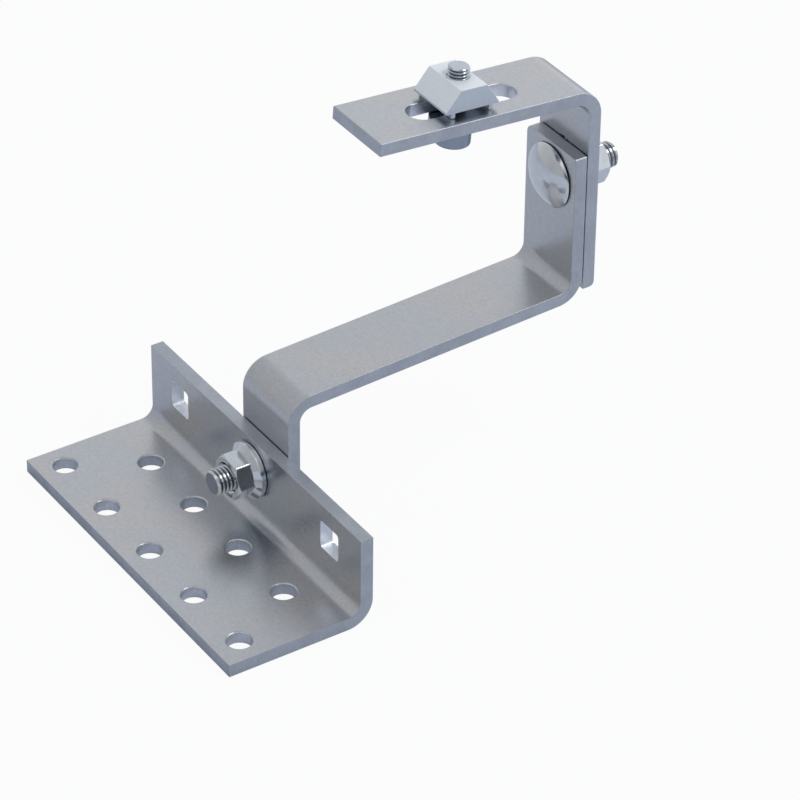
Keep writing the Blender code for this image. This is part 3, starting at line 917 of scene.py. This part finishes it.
camera = bpy.data.objects.new("camera", bpy.data.cameras.new("camera"))
bpy.context.scene.collection.objects.link(camera)
camera.data.lens = 190.4
camera.data.sensor_width = 36
camera.data.clip_start = 0.05
camera.data.clip_end = 20
camera.location = CAMERA_PLACE
camera.rotation_euler = [math.radians(angle) for angle in CAMERA_TURN]
bpy.context.scene.camera = camera

# %% Floor
FLOOR_WHITE = 0.94          # how much of the floor a camera ray sees as pure white
FLOOR_DROP = 0.2 * MM       # the floor lies this far under the plate

floor = add("floor", "plane", size=6)
settle(floor, (0, 0, -FLOOR_DROP))
floor_paint, floor_shader, wire = new_material("floor_paint", 0.0, 0.9)
floor_shader.inputs["Base Color"].default_value = (0.69, 0.73, 0.815, 1)
floor_shader.inputs["Specular IOR Level"].default_value = 0.0
seen = wire.node("ShaderNodeLightPath", out="Is Camera Ray")
glow = wire.node("ShaderNodeEmission", None, {"Color": (1, 1, 1, 1), "Strength": 1.0})
paint = Wire(wire.tree, floor_shader.outputs[0])
mixed = wire.node("ShaderNodeMixShader", None, {0: seen * FLOOR_WHITE, 1: paint, 2: glow})
wire.tree.links.new(mixed.socket, wire.tree.nodes["Material Output"].inputs["Surface"])
floor.data.materials.append(floor_paint)

# %% [markdown]
# ## Light
# Polished steel shows the room. The world is a pale dome that fades towards its top and towards
# the side where the photographer stood. One low dark zone there blackens a side of the lower nut.
# A soft box behind the hook to the right draws the bright outlines. A wide, weak one in front
# lights the matt wedge and hardly shows in the metal.

# %% World
DARK_ZONE = Vector((0.88, -0.46, 0.06)).normalized()
DARK_SPREAD = (0.68, 0.93)      # cosines at the zone's outer and inner edge
DARK_TOP = (0.14, 0.34)         # heights where it starts and ends to fade
DARKNESS = 0.90
SKY_TINT = (0.98, 1.0, 1.04, 1)

world = bpy.data.worlds.new("studio_dome")
bpy.context.scene.world = world
world.use_nodes = True
direction = Wire(world.node_tree).node("ShaderNodeTexCoord", out=0)
across = direction.node("ShaderNodeSeparateXYZ", None, {0: direction}, out=1)
height = direction.node("ShaderNodeSeparateXYZ", None, {0: direction}, out=2)
dome = direction.node("ShaderNodeValToRGB", {"stops": [
    (0.0, 0.88), (0.50, 0.92), (0.62, 0.92), (0.78, 0.90), (0.87, 0.78), (1.0, 0.55)]},
    {0: height * 0.5 + 0.5})
facing = direction.node("ShaderNodeVectorMath", {"operation": 'DOT_PRODUCT'},
                        {0: direction, 1: DARK_ZONE}, out=1)
dark = facing.between(*DARK_SPREAD) * (1 - height.between(*DARK_TOP))
level = dome * (0.75 + 0.27 * across) * (1 - DARKNESS * dark)
sky = level.mix((0, 0, 0, 1), SKY_TINT)
background = world.node_tree.nodes["Background"]
world.node_tree.links.new(sky.socket, background.inputs["Color"])
background.inputs["Strength"].default_value = 1.0


# %% Soft box
def soft_box(name, direction, distance, size, radiance):
    """A square lamp that looks at the hook; its power follows from how bright its face is."""
    lamp = bpy.data.objects.new(name, bpy.data.lights.new(name, 'AREA'))
    bpy.context.scene.collection.objects.link(lamp)
    lamp.data.shape = 'SQUARE'
    lamp.data.size = size
    lamp.data.energy = radiance * math.pi * size * size
    way = Vector(direction).normalized()
    aim = (CAD_BOX[0] + CAD_BOX[1]) / 2
    lamp.location = aim + way * distance
    lamp.rotation_euler = (-way).to_track_quat('-Z', 'Y').to_euler()


soft_box("box_behind", (0.35, 0.48, 0.80), distance=1.1, size=0.46, radiance=3.4)
soft_box("box_in_front", (0.10, -0.62, 0.78), distance=1.3, size=1.3, radiance=0.36)
bpy.context.scene.view_settings.view_transform = 'Standard'
